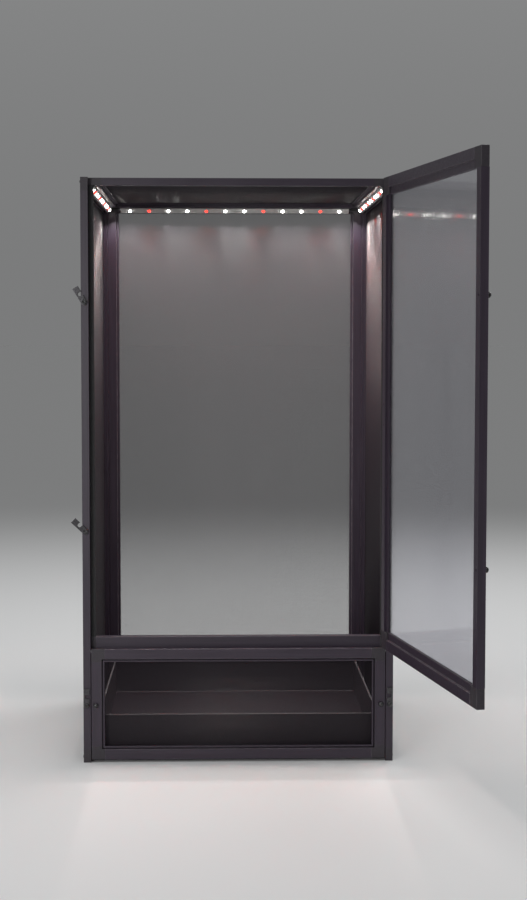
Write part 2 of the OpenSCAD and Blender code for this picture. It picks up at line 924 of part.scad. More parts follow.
// Screws through the side panels, and those of the hinges' post leaves
module frame_screws() {
    color(dome_black) {
        both_sides() for (p = side_screws) translate([cage_w / 2, p[0], p[1]]) rotate([0, 90, 0])
            screw(screw_head_r, screw_head_h, screw_r, frame_t + screw_bite);
        for (z = hinge_heights, side = [-1, 1]) small_screw(post_screw_x, z + side * leaf_screw_z);
    }
}

left_stiles();
left_rails();
left_corners();
left_mesh();
left_bead();
right_stiles();
right_rails();
right_corners();
right_mesh();
right_bead();
back_stiles();
back_rails();
back_corners();
back_mesh();
back_bead();
top_stiles();
top_rails();
top_corners();
top_mesh();
top_bead();
floor_bars();
floor_corners();
floor_sheet();
cross_rail();
rail_brackets();
door_stops();
door_stiles();
door_rails();
door_corners();
door_acrylic();
door_bead();
door_knobs();
flap_stiles();
flap_rails();
flap_corners();
flap_mesh();
flap_bead();
flap_knobs();
hinge_post_leaves();
hinge_door_leaves();
hinge_pins();
hinge_door_screws();
flap_pins();
upper_latch();
lower_latch();
flap_latch_left();
flap_latch_right();
latch_screws();
tray();
lamp_channels();
lamp_boards();
white_lamps();
red_lamps();
strip_leads();
controller_body();
controller_cover();
mode_switch();
power_inlet();
frame_screws();
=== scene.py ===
# %% [markdown]
# # A screen cage for climbing reptiles
# This lesson dresses a finished set of solids. The cage is five frames of thin black tube, four round
# woven screen and one round a floor sheet, with a clear door, a screen flap in front of a tray, four
# hook latches and three strips of lamps. The solids bring every size and every joint, so this file only
# adds what the eye needs: rounded edges, real wires, finishes, light and a camera.

# %% Load the solids
import json
import math

import bmesh
import bpy
from mathutils import Matrix, Vector


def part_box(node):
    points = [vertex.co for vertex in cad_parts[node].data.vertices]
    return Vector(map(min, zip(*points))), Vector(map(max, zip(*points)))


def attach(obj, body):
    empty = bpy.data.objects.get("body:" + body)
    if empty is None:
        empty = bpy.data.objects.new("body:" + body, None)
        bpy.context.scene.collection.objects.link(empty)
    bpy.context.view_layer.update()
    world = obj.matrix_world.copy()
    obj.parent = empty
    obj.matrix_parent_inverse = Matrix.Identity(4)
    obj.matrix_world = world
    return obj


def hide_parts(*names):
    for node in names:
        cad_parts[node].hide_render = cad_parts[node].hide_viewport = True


MM = 0.001
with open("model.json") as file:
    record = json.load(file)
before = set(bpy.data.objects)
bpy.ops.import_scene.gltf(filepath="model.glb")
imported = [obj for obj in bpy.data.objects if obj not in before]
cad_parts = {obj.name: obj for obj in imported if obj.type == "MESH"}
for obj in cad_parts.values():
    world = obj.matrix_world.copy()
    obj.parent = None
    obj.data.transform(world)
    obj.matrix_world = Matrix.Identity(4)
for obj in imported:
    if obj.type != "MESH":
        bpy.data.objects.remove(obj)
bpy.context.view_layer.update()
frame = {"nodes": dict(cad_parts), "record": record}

# %% [markdown]
# ## The camera
# A camera can be set by eye or worked out from the edges of the object. Here the post, flap and door
# corners were measured with the two rear corners, and the place that puts them within two pixels on
# average was kept. It stands almost in front of the middle, at about three quarters of the cage's
# height, and needs no shift.

# %% Place the camera
PHOTO_HIGH = 900
FOCAL_PIXELS = 1696.7
SENSOR = 36.0
SEES_TO = 400
EYE = Vector((-0.0291, -2.4024, 0.5555))
YAW, PITCH, ROLL = (math.radians(a) for a in (-1.606, -3.768, -0.026))

camera = bpy.data.objects.new("camera", bpy.data.cameras.new("camera"))
bpy.context.scene.collection.objects.link(camera)
camera.data.sensor_fit = "AUTO"
camera.data.sensor_width = SENSOR
camera.data.lens = FOCAL_PIXELS * SENSOR / PHOTO_HIGH
camera.data.clip_end = SEES_TO
turn = Matrix.Rotation(YAW, 4, "Z") @ Matrix.Rotation(PITCH, 4, "X") @ Matrix.Rotation(ROLL, 4, "Y")
camera.matrix_world = Matrix.Translation(EYE) @ turn @ Matrix.Rotation(math.radians(90), 4, "X")
bpy.context.scene.camera = camera
print("camera lens", round(camera.data.lens, 2), "mm")

# %% [markdown]
# ## The floor
# A screen shows what is behind it, so a black screen in a white room looks white. The room here is pale
# where the cage stands and falls away to grey behind, as a studio sweep does. A curved backdrop could
# do that, but it would stand in the way of a look from behind. So the floor is flat and its paint
# darkens with distance, until it gives back exactly the grey of the horizon and no edge shows between
# them. The sky of the next step rises with the square of the height, and such a sky lights a level
# floor as the mean of its two ends would.

# %% Floor with a fading paint
FLOOR_HALF = 120.0
NEAR_SHARE = 0.76
NEAR_EDGE = 0.35
FAR_EDGE = 3.4
HORIZON = 0.20
OVERHEAD = 1.15
sky_on_floor = (HORIZON + OVERHEAD) / 2
FAR_SHARE = HORIZON / sky_on_floor


def pale_paint():
    """Floor paint that goes from NEAR_SHARE at the cage to FAR_SHARE far away."""
    paint = bpy.data.materials.new("pale_paint")
    paint.use_nodes = True
    nodes, links = paint.node_tree.nodes, paint.node_tree.links
    shader = nodes["Principled BSDF"]
    shader.inputs["Roughness"].default_value = 1.0
    shader.inputs["Specular IOR Level"].default_value = 0.0
    place = nodes.new("ShaderNodeTexCoord")
    away = nodes.new("ShaderNodeVectorMath")
    away.operation = "LENGTH"
    fade = nodes.new("ShaderNodeMapRange")
    fade.interpolation_type = "SMOOTHSTEP"
    fade.inputs["From Min"].default_value = NEAR_EDGE
    fade.inputs["From Max"].default_value = FAR_EDGE
    tone = nodes.new("ShaderNodeValToRGB")
    tone.color_ramp.elements[0].color = (*[NEAR_SHARE] * 3, 1)
    tone.color_ramp.elements[1].color = (*[FAR_SHARE] * 3, 1)
    links.new(place.outputs["Object"], away.inputs[0])
    links.new(away.outputs["Value"], fade.inputs["Value"])
    links.new(fade.outputs["Result"], tone.inputs["Fac"])
    links.new(tone.outputs["Color"], shader.inputs["Base Color"])
    return paint


def pale_floor():
    """A flat sheet under the cage, marked as stage."""
    shape = bmesh.new()
    bmesh.ops.create_grid(shape, x_segments=4, y_segments=4, size=FLOOR_HALF)
    mesh = bpy.data.meshes.new("floor")
    shape.to_mesh(mesh)
    shape.free()
    mesh.materials.append(pale_paint())
    ground = bpy.data.objects.new("floor", mesh)
    bpy.context.scene.collection.objects.link(ground)


pale_floor()
print("floor gives back", NEAR_SHARE, "near the cage and", round(FAR_SHARE, 3), "far away")

# %% [markdown]
# ## The sky
# A dome of light could come from a picture of a studio, but two numbers are enough here: grey at the
# horizon, so the background stays quiet, and bright overhead, so the light is soft and comes from
# above.

# %% Sky that brightens overhead
SKY_TINT = (0.985, 0.995, 1.0)


def graded_sky():
    """A sky that rises from HORIZON to OVERHEAD with the square of the height of each direction."""
    world = bpy.data.worlds.new("room")
    bpy.context.scene.world = world
    world.use_nodes = True
    nodes, links = world.node_tree.nodes, world.node_tree.links
    way = nodes.new("ShaderNodeTexCoord")
    split = nodes.new("ShaderNodeSeparateXYZ")
    square = nodes.new("ShaderNodeMath")
    square.operation = "MULTIPLY"
    rise = nodes.new("ShaderNodeMapRange")
    rise.inputs["To Min"].default_value = HORIZON
    rise.inputs["To Max"].default_value = OVERHEAD
    back = nodes["Background"]
    back.inputs["Color"].default_value = (*SKY_TINT, 1)
    links.new(way.outputs["Generated"], split.inputs["Vector"])
    links.new(split.outputs["Z"], square.inputs[0])
    links.new(split.outputs["Z"], square.inputs[1])
    links.new(square.outputs["Value"], rise.inputs["Value"])
    links.new(rise.outputs["Result"], back.inputs["Strength"])


graded_sky()
bpy.context.scene.view_settings.view_transform = "Standard"
print("sky goes from", HORIZON, "to", OVERHEAD)

# %% [markdown]
# ## Two soft lamps
# A dome alone makes a black frame look flat. A square lamp at the front left brightens that side of the
# posts, with its beam narrowed so that it leaves no patch on the floor behind. A second lamp behind, on
# the right, draws the rear edges.

# %% Key and rim lamps
def hang(light, place, way):
    """Puts a lamp at a place, facing a way, where the camera doesn't see it."""
    lamp = bpy.data.objects.new(light.name, light)
    lamp.location = place
    lamp.rotation_mode = "QUATERNION"
    lamp.rotation_quaternion = Vector(way).to_track_quat("-Z", "Y")
    lamp.visible_camera = False
    bpy.context.scene.collection.objects.link(lamp)


def soft_lamp(name, place, aim, size, watts, beam):
    """A square lamp of a size in metres that points at aim, with a beam in degrees."""
    light = bpy.data.lights.new(name, "AREA")
    light.size = size
    light.energy = watts
    light.spread = math.radians(beam)
    hang(light, place, Vector(aim) - Vector(place))


soft_lamp("key", place=(-0.95, -2.2, 0.55), aim=(-0.15, -0.2, 0.38), size=0.6, watts=2.4, beam=70)
soft_lamp("rim", place=(1.2, 1.6, 1.8), aim=(0, 0, 0.5), size=1.0, watts=10, beam=180)
print("lamps: key and rim")

# %% [markdown]
# ## A way to write finishes
# A single flat colour looks like a drawing, and a picture of the metal would need a picture file. So
# every finish here is a shader with three small patterns: one shifts the colour, one the roughness and
# one the surface height. The colour changes over the widest patches and the height over the finest. A
# stretch along one axis turns the same noise into the drawn lines of a tube.

# %% One helper for finishes
NOISE_LOW, NOISE_HIGH = 0.3, 0.7
COLOUR_PATCHES = 0.25
GLOSS_PATCHES = 0.6
BUMP_DEPTH = 0.05 * MM


def finish(name, dark, light, rough, grain, bump, stretch=(1, 1, 1), metallic=0.0):
    """A node finish: colour from dark to light, roughness between two values, grain in waves per metre."""
    paint = bpy.data.materials.new(name)
    paint.use_nodes = True
    nodes, links = paint.node_tree.nodes, paint.node_tree.links
    shader = nodes["Principled BSDF"]
    shader.inputs["Metallic"].default_value = metallic
    place = nodes.new("ShaderNodeTexCoord")
    scaled = nodes.new("ShaderNodeMapping")
    scaled.inputs["Scale"].default_value = stretch
    links.new(place.outputs["Object"], scaled.inputs["Vector"])

    def noise(scale, detail):
        pattern = nodes.new("ShaderNodeTexNoise")
        pattern.inputs["Scale"].default_value = scale
        pattern.inputs["Detail"].default_value = detail
        links.new(scaled.outputs["Vector"], pattern.inputs["Vector"])
        return pattern.outputs["Fac"]

    tone = nodes.new("ShaderNodeValToRGB")
    tone.color_ramp.elements[0].position = NOISE_LOW
    tone.color_ramp.elements[1].position = NOISE_HIGH
    tone.color_ramp.elements[0].color = (*dark, 1)
    tone.color_ramp.elements[1].color = (*light, 1)
    links.new(noise(grain * COLOUR_PATCHES, detail=4), tone.inputs["Fac"])
    links.new(tone.outputs["Color"], shader.inputs["Base Color"])
    gloss = nodes.new("ShaderNodeMapRange")
    gloss.inputs["From Min"].default_value = NOISE_LOW
    gloss.inputs["From Max"].default_value = NOISE_HIGH
    gloss.inputs["To Min"].default_value, gloss.inputs["To Max"].default_value = rough
    links.new(noise(grain * GLOSS_PATCHES, detail=3), gloss.inputs["Value"])
    links.new(gloss.outputs["Result"], shader.inputs["Roughness"])
    height = nodes.new("ShaderNodeBump")
    height.inputs["Strength"].default_value = bump
    height.inputs["Distance"].default_value = BUMP_DEPTH
    links.new(noise(grain, detail=2), height.inputs["Height"])
    links.new(height.outputs["Normal"], shader.inputs["Normal"])
    return paint


def shader_of(paint):
    return paint.node_tree.nodes["Principled BSDF"]


print("finish helper ready")

# %% [markdown]
# ## Black anodised tube
# The bars are drawn aluminium with a black anodised skin: a warm purple-black, satin, with faint lines
# along the draw. Bars run three ways, so there is one tube finish for each way, with the noise
# stretched along the bar. The door's cross bars lie at a slant, and the floor's bars and the beads run
# both ways in one piece, so those have a plain one. Hands and boxes rub the skin thin along the edges,
# so edges have a finish of their own, paler and patchy. That paler edge is partly this wear and partly
# a painted highlight, laid on the rounded edges so that they catch more light.

# %% Tube finishes
TUBE_DARK = (0.0225, 0.0150, 0.0260)
TUBE_LIGHT = (0.0335, 0.0225, 0.0385)
DRAWN = 0.03
ALONG = {"x": (DRAWN, 1, 1), "y": (1, DRAWN, 1), "z": (1, 1, DRAWN)}
tube_finish = {}
for axis, stretch in ALONG.items():
    tube_finish[axis] = finish("anodised_tube_" + axis, TUBE_DARK, TUBE_LIGHT, rough=(0.30, 0.48),
                               grain=1400, bump=0.25, stretch=stretch)
plain_tube = finish("anodised_door_tube", TUBE_DARK, TUBE_LIGHT, rough=(0.32, 0.46), grain=700, bump=0.10)
# Edge finish for the bars: real wear and a painted highlight along the rounded edges.
tube_edge_wear_and_highlight = finish("tube_edge_wear_and_painted_highlight", dark=(0.040, 0.031, 0.043), light=(0.13, 0.112, 0.132),
                     rough=(0.26, 0.40), grain=420, bump=0.10)
print("tube finishes along", ", ".join(tube_finish))

# %% [markdown]
# ## Rounded copies of the solids
# No real edge is perfectly sharp: a rounded edge catches a line of light, and that line is what makes a
# black tube readable. The solids could be shown as they are, but their edges would vanish into each
# other. So each gets a copy whose flat faces are joined, whose edges are bevelled, and whose normals
# keep the flats flat.

# %% A helper that shows a mesh in place of a node
BODIES = frame["record"]["behaviour"]["bodies"]


def body_of(node):
    return next(body for body, members in BODIES.items() if node in members)


def show(name, mesh, finishes, node):
    """Puts a mesh in the scene in place of a node, riding on its body."""
    piece = bpy.data.objects.new(name, mesh)
    bpy.context.scene.collection.objects.link(piece)
    for paint in finishes:
        mesh.materials.append(paint)
    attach(piece, body_of(node))
    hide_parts(node)
    return piece


print("bodies:", ", ".join(BODIES))

# %% A helper that rounds a node's edges
WELD = 0.001 * MM
SAME_PLANE = math.radians(0.5)
ROUND_PROFILE = 0.5


def applied(piece):
    """The mesh that a piece's modifiers make."""
    graph = bpy.context.evaluated_depsgraph_get()
    return bpy.data.meshes.new_from_object(piece.evaluated_get(graph))


def flat_normals(piece):
    """Weights each normal by its face's area, so a bevel is round and a flat stays flat."""
    piece.modifiers.new("flats", "WEIGHTED_NORMAL")
    mesh = applied(piece)
    mesh.name = piece.name
    piece.modifiers.clear()
    piece.data = mesh


def rounded(node, name, paint, radius, segments=2, crease=35, edge=None):
    """A copy of a node. Edges sharper than crease are rounded to radius, in the finish edge if given."""
    shape = bmesh.new()
    shape.from_mesh(frame["nodes"][node].data)
    bmesh.ops.remove_doubles(shape, verts=shape.verts, dist=WELD)
    bmesh.ops.dissolve_limit(shape, angle_limit=SAME_PLANE, verts=shape.verts, edges=shape.edges)
    sharp = [e for e in shape.edges if e.is_manifold and e.calc_face_angle() > math.radians(crease)]
    bmesh.ops.bevel(shape, geom=sharp, offset=radius, segments=segments, profile=ROUND_PROFILE,
                    affect="EDGES", clamp_overlap=True, material=1 if edge else -1)
    for face in shape.faces:
        face.smooth = True
    mesh = bpy.data.meshes.new(name)
    shape.to_mesh(mesh)
    shape.free()
    piece = show(name, mesh, [paint, edge] if edge else [paint], node)
    flat_normals(piece)
    return piece


print("rounding helper ready")

# %% [markdown]
# ## The five frames, the flap and the door
# Each frame is two uprights, two cross bars and four moulded corner keys that plug into them. They
# could be one mesh, but then the drawn lines couldn't follow each bar. The tube's own radius is about
# half a millimetre. The keys are a duller black moulding and a little softer at the edges, and so are
# the brackets that carry the cross rail. The door's bars have the largest radius.

# %% Round the tubes and the keys
TUBE_ROUND = 0.5 * MM
KEY_ROUND = 0.6 * MM
DOOR_ROUND = 0.8 * MM
RUNS = {"left": ("z", "y"), "right": ("z", "y"), "back": ("z", "x"), "top": ("y", "x"), "flap": ("z", "x")}
key_finish = finish("corner_key_moulding", dark=(0.020, 0.016, 0.021), light=(0.030, 0.024, 0.032),
                    rough=(0.46, 0.6), grain=1800, bump=0.25)
# Edge finish for the keys: real wear and a painted highlight along the rounded edges.
key_edge_wear_and_highlight = finish("key_edge_wear_and_painted_highlight", dark=(0.030, 0.025, 0.031), light=(0.070, 0.062, 0.072),
                  rough=(0.38, 0.52), grain=420, bump=0.10)
for panel, (upright, across) in RUNS.items():
    rounded(panel + "_stiles", panel + "_upright_tubes", tube_finish[upright], TUBE_ROUND, edge=tube_edge_wear_and_highlight)
    rounded(panel + "_rails", panel + "_cross_tubes", tube_finish[across], TUBE_ROUND, edge=tube_edge_wear_and_highlight)
    rounded(panel + "_corners", panel + "_corner_keys", key_finish, KEY_ROUND, edge=key_edge_wear_and_highlight)
rounded("door_stiles", "door_upright_tubes", tube_finish["z"], DOOR_ROUND, segments=3, edge=tube_edge_wear_and_highlight)
rounded("door_rails", "door_cross_tubes", plain_tube, DOOR_ROUND, segments=3, edge=tube_edge_wear_and_highlight)
rounded("door_corners", "door_corner_keys", key_finish, KEY_ROUND, edge=key_edge_wear_and_highlight)
rounded("floor_bars", "floor_tubes", plain_tube, TUBE_ROUND, edge=tube_edge_wear_and_highlight)
rounded("floor_corners", "floor_corner_keys", key_finish, KEY_ROUND, edge=key_edge_wear_and_highlight)
rounded("cross_rail", "cross_rail_tube", tube_finish["x"], TUBE_ROUND, edge=tube_edge_wear_and_highlight)
rounded("rail_brackets", "cross_rail_brackets", key_finish, KEY_ROUND, edge=key_edge_wear_and_highlight)
print("frames rounded")

# %% [markdown]
# ## Beads, stops and the floor sheet
# A bead is a soft-edged strip pressed in over the sheet. It could be swept along a path, but the solids
# have its true section, so it only needs softer edges. The dark groove beside it is left by the solids.
# The stop strips behind the door and the flap are matt and nearly black, and the floor sheet is a dull
# black.

# %% Round the beads, the stop strips and the floor sheet
BEAD_ROUND = 0.7 * MM
STOP_ROUND = 0.8 * MM
SHEET_ROUND = 0.6 * MM
stop_finish = finish("stop_strip", dark=(0.010, 0.010, 0.011), light=(0.018, 0.018, 0.019),
                     rough=(0.6, 0.75), grain=1200, bump=0.2)
floor_finish = finish("floor_sheet", dark=(0.020, 0.020, 0.021), light=(0.030, 0.030, 0.031),
                      rough=(0.5, 0.65), grain=700, bump=0.2)
for panel in (*RUNS, "door"):
    rounded(panel + "_bead", panel + "_bead_strip", plain_tube, BEAD_ROUND, segments=3)
rounded("door_stops", "door_stop_strips", stop_finish, STOP_ROUND)
rounded("floor_sheet", "floor_plate", floor_finish, SHEET_ROUND)
print("beads rounded")

# %% [markdown]
# ## Woven screen
# The screen could be a picture of a grid with holes, but a picture has no thickness and loses its holes
# when the model is used elsewhere. Real wires are cheap: one thin bar for each wire, in two layers that
# touch. Each bar has four sides and stands on edge, and its long faces are shaded smooth, so light runs
# round it as round a wire.

# %% A helper that adds one wire
def wire(shape, low, high, run):
    """Adds a closed four-sided wire along axis run, standing on edge in the box from low to high."""
    middle, half = (low + high) / 2, (high - low) / 2
    first, second = (axis for axis in range(3) if axis != run)
    rings = []
    for end in (low, high):
        ring = []
        for axis, side in ((first, 1), (second, 1), (first, -1), (second, -1)):
            point = middle.copy()
            point[run] = end[run]
            point[axis] += side * half[axis]
            ring.append(shape.verts.new(point))
        shape.faces.new(ring)
        rings.append(ring)
    for i in range(4):
        side = shape.faces.new((rings[0][i], rings[0][i - 1], rings[1][i - 1], rings[1][i]))
        side.smooth = True


print("wire helper ready")

# %% [markdown]
# Screen cloth has more wires one way than the other, here sixteen to eleven, and panels are cut from
# the roll either way. Two screens that meet at a corner and are cut alike make strong stripes where one
# is seen through the other, so the back panel and the flap are cut across the roll and the others along
# it.

# %% Weave the screens
WIRES_ALONG, WIRES_ACROSS = 16, 11
CLOSE = 0.88 * MM
WIDE = CLOSE * WIRES_ALONG / WIRES_ACROSS
WIRE = 0.31 * MM
LAYER_SHARE = 0.52
CUT_ACROSS = ("back", "flap")
wire_finish = finish("screen_wire", dark=(0.0185, 0.0138, 0.0188), light=(0.0285, 0.0217, 0.0288),
                     rough=(0.36, 0.5), grain=2500, bump=0.2)


def screen(node, name, pitches):
    """Wires both ways across a node's box at two pitches, one layer on each half of its thickness."""
    low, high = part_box(node)
    size = high - low
    thin = min(range(3), key=lambda axis: size[axis])
    flat = [axis for axis in range(3) if axis != thin]
    shape = bmesh.new()
    for across, run, layer in ((flat[0], flat[1], 0), (flat[1], flat[0], 1)):
        count = round(size[across] / pitches[layer])
        step = size[across] / count
        for i in range(count):
            start, end = low.copy(), high.copy()
            middle = low[across] + (i + 0.5) * step
            start[across] = middle - WIRE / 2
            end[across] = middle + WIRE / 2
            if layer:
                start[thin] = high[thin] - LAYER_SHARE * size[thin]
            else:
                end[thin] = low[thin] + LAYER_SHARE * size[thin]
            wire(shape, start, end, run)
    bmesh.ops.recalc_face_normals(shape, faces=shape.faces)
    mesh = bpy.data.meshes.new(name)
    shape.to_mesh(mesh)
    shape.free()
    show(name, mesh, [wire_finish], node)
    print(name, len(mesh.polygons), "faces")


for panel in RUNS:
    pitches = (WIDE, CLOSE) if panel in CUT_ACROSS else (CLOSE, WIDE)
    screen(panel + "_mesh", panel + "_screen", pitches)

# %% [markdown]
# ## The clear door
# Acrylic is a solid block of clear plastic with polished faces, so it is made as one: light bends going
# in and coming out, and the cut edges look darker than the face. Faint wipe marks change mostly the
# gloss.

# %% Acrylic sheet
ACRYLIC_BENDS = 1.49
GLAZING_ROUND = 0.3 * MM
WIPED = (1, 1, 0.35)
acrylic = finish("clear_acrylic", dark=(0.80, 0.80, 0.86), light=(0.88, 0.88, 0.93),
                 rough=(0.02, 0.12), grain=14, bump=0.02, stretch=WIPED)
shader_of(acrylic).inputs["Transmission Weight"].default_value = 1.0
shader_of(acrylic).inputs["IOR"].default_value = ACRYLIC_BENDS
rounded("door_acrylic", "door_glazing", acrylic, GLAZING_ROUND)
print("door glazed")

# %% [markdown]
# ## Tray
# The tray is one vacuum-formed shell. Its rim catches a line of light, and that line is a painted
# highlight: the shell's own finish lightens over the top millimetre or two. It could be a separate strip,
# but a highlight has no edge.

# %% Tray with a painted highlight on its rim
RIM_BAND = 1.6 * MM
# The colour of the rim's painted highlight.
RIM_HIGHLIGHT = (0.22, 0.20, 0.21)
TRAY_ROUND = 1.1 * MM


def paint_rim_highlight(paint, top):
    """Paints a highlight on a rim: lightens a finish towards a pale colour over the last RIM_BAND below a
    height.
    """
    nodes, links = paint.node_tree.nodes, paint.node_tree.links
    where = nodes.new("ShaderNodeTexCoord")
    split = nodes.new("ShaderNodeSeparateXYZ")
    band = nodes.new("ShaderNodeMapRange")
    band.inputs["From Min"].default_value = top - RIM_BAND
    band.inputs["From Max"].default_value = top
    highlight_mix = nodes.new("ShaderNodeMix")
    highlight_mix.data_type = "RGBA"
    highlight_mix.inputs["B"].default_value = (*RIM_HIGHLIGHT, 1)
    base = shader_of(paint).inputs["Base Color"]
    links.new(where.outputs["Object"], split.inputs["Vector"])
    links.new(split.outputs["Z"], band.inputs["Value"])
    links.new(band.outputs["Result"], highlight_mix.inputs["Factor"])
    links.new(base.links[0].from_socket, highlight_mix.inputs["A"])
    links.new(highlight_mix.outputs["Result"], base)


tray_low, tray_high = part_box("tray")
tray_finish = finish("tray_moulding", dark=(0.0185, 0.0130, 0.0182), light=(0.0285, 0.0205, 0.0285),
                     rough=(0.36, 0.5), grain=900, bump=0.2)
paint_rim_highlight(tray_finish, tray_high.z)
rounded("tray", "slide_out_tray", tray_finish, TRAY_ROUND, segments=3)
print("tray", [round(v, 3) for v in tray_high - tray_low])

# %% [markdown]
# ## Hinges, latches, pins and knobs
# Small hardware is seen by its highlights: paint on the hinge leaves, dull nickel plating on the
# latches, painted far darker than nickel is as a painted shade for the dark surroundings it mirrors,
# bright nickel on the pins, gloss black on the domes. Each could be modelled afresh, but the latches and
# hinges turn on these very solids, so they are only rounded and the finish does the rest. A dome is
# already round, so only its rim is creased enough to be rounded.

# %% Round the hardware
LEAF_ROUND = 0.2 * MM
LATCH_ROUND = 0.35 * MM
PIN_ROUND = 0.2 * MM
DOME_ROUND = 0.15 * MM
DOME_CREASE = 50
DOME_COAT = 0.5
hinge_finish = finish("hinge_paint", dark=(0.022, 0.020, 0.023), light=(0.032, 0.029, 0.034),
                      rough=(0.32, 0.45), grain=900, bump=0.15)
# Latch nickel painted far darker than nickel: painted shade for the dark surroundings it mirrors.
latch_finish = finish("nickel_darkened_as_painted_shade", dark=(0.060, 0.058, 0.062), light=(0.105, 0.102, 0.108),
                      rough=(0.18, 0.30), grain=1600, bump=0.12, metallic=1.0)
pin_finish = finish("bright_pin", dark=(0.34, 0.34, 0.35), light=(0.42, 0.42, 0.43),
                    rough=(0.25, 0.38), grain=1600, bump=0.1, metallic=1.0)
dome_finish = finish("black_plated_dome", dark=(0.010, 0.010, 0.011), light=(0.018, 0.017, 0.019),
                     rough=(0.12, 0.22), grain=2200, bump=0.08)
shader_of(dome_finish).inputs["Coat Weight"].default_value = DOME_COAT
for node, name in (("hinge_post_leaves", "post_hinge_leaves"), ("hinge_door_leaves", "door_hinge_leaves")):
    rounded(node, name, hinge_finish, LEAF_ROUND)
for node in ("upper_latch", "lower_latch", "flap_latch_left", "flap_latch_right"):
    rounded(node, node + "_plate", latch_finish, LATCH_ROUND, segments=3)
for node, name in (("hinge_pins", "hinge_pin_rods"), ("flap_pins", "flap_pivot_rods")):
    rounded(node, name, pin_finish, PIN_ROUND)
for node, name in (("door_knobs", "door_knob_domes"), ("flap_knobs", "flap_knob_domes"),
                   ("hinge_door_screws", "door_hinge_domes")):
    rounded(node, name, dome_finish, DOME_ROUND, crease=DOME_CREASE)
print("hardware rounded")

# %% [markdown]
# ## Screws with a cross recess
# The cage is put together with a screwdriver, so the frame screws and the pivots of the latches have a
# cross cut in their domes. The small domes on the door's hinges stay plain. The cross could be painted
# on, but a real cut shades itself from every side. First every screw has to be found, as a loose part
# of its node.

# %% A helper that finds loose parts
def loose_parts(mesh):
    """The points of each group of joined vertices, in the order of the mesh's own points."""
    shape = bmesh.new()
    shape.from_mesh(mesh)
    bmesh.ops.remove_doubles(shape, verts=shape.verts, dist=WELD)
    found = set()
    groups = []
    for first in shape.verts:
        if first in found:
            continue
        found.add(first)
        open_ends, group = [first], []
        while open_ends:
            vert = open_ends.pop()
            group.append(vert.co.copy())
            joined = [edge.other_vert(vert) for edge in vert.link_edges]
            fresh = [other for other in joined if other not in found]
            found.update(fresh)
            open_ends.extend(fresh)
        groups.append(group)
    shape.free()
    return groups


def corners_of(points):
    return Vector(map(min, zip(*points))), Vector(map(max, zip(*points)))


print("frame screws:", len(loose_parts(frame["nodes"]["frame_screws"].data)))

# %% [markdown]
# One loose set of crosses is then subtracted from all the heads of a node at once. Each cross goes in
# from the outer end of its screw, and each is turned a little further than the last, because no two
# screws stop alike.

# %% Cut the crosses
CROSS_LONG = 3.6 * MM
CROSS_WIDE = 0.9 * MM
CROSS_DEEP = 1.1 * MM
CROSS_SPARE = 1.0 * MM
CROSS_STEP = 37
CUT_SHARP = math.radians(40)


def cross_prism(shape, tip, outward, turned):
    """Adds a cross, turned about its screw, that runs from above the tip to CROSS_DEEP below it."""
    long, wide = CROSS_LONG / 2, CROSS_WIDE / 2
    corner = [(long, wide), (wide, wide), (wide, long)]
    ring = [(x, y) for x, y in corner] + [(-x, y) for x, y in reversed(corner)]
    ring += [(-x, -y) for x, y in corner] + [(x, -y) for x, y in reversed(corner)]
    facing = outward.to_track_quat("Z", "Y").to_matrix().to_4x4()
    place = Matrix.Translation(tip) @ facing @ Matrix.Rotation(turned, 4, "Z")
    top = [shape.verts.new(place @ Vector((x, y, CROSS_SPARE))) for x, y in ring]
    low = [shape.verts.new(place @ Vector((x, y, -CROSS_DEEP))) for x, y in ring]
    shape.faces.new(top)
    shape.faces.new(low[::-1])
    for i, vert in enumerate(top):
        shape.faces.new((vert, low[i], low[(i + 1) % len(low)], top[(i + 1) % len(top)]))


def crosses_for(heads):
    """A loose object with one cross for each screw, at the end that faces away from the cage."""
    shape = bmesh.new()
    for number, points in enumerate(heads):
        low, high = corners_of(points)
        middle, size = (low + high) / 2, high - low
        axis = max(range(3), key=lambda i: size[i])
        outward = Vector((0, 0, 0))
        outward[axis] = math.copysign(1, middle[axis])
        tip = middle.copy()
        tip[axis] = high[axis] if outward[axis] > 0 else low[axis]
        cross_prism(shape, tip, outward, math.radians(CROSS_STEP * number))
    bmesh.ops.recalc_face_normals(shape, faces=shape.faces)
    tool = bpy.data.objects.new("crosses", bpy.data.meshes.new("crosses"))
    shape.to_mesh(tool.data)
    shape.free()
    bpy.context.scene.collection.objects.link(tool)
    return tool


def screw_heads(node, name):
    """Rounded screws of a node, each with a cross cut in it."""
    piece = rounded(node, name, dome_finish, DOME_ROUND, crease=DOME_CREASE)
    heads = loose_parts(piece.data)
    tool = crosses_for(heads)
    cut = piece.modifiers.new("crosses", "BOOLEAN")
    cut.object = tool
    cut.solver = "EXACT"
    mesh = applied(piece)
    piece.modifiers.clear()
    piece.data = mesh
    mesh.set_sharp_from_angle(angle=CUT_SHARP)
    bpy.data.objects.remove(tool)
    print(name, len(heads), "heads,", len(mesh.polygons), "faces")


screw_heads("latch_screws", "latch_pivot_screws")
screw_heads("frame_screws", "frame_screw_heads")

# %% [markdown]
# ## Lamp strips
# Each strip is a corner channel, a white board and a row of lenses, with the red ones second in every
# three. A lens could be clear plastic over a tiny lamp, but at this size the eye sees only a bright
# dot, so each is a shader that gives light. The leads between the strips are thin black wire.

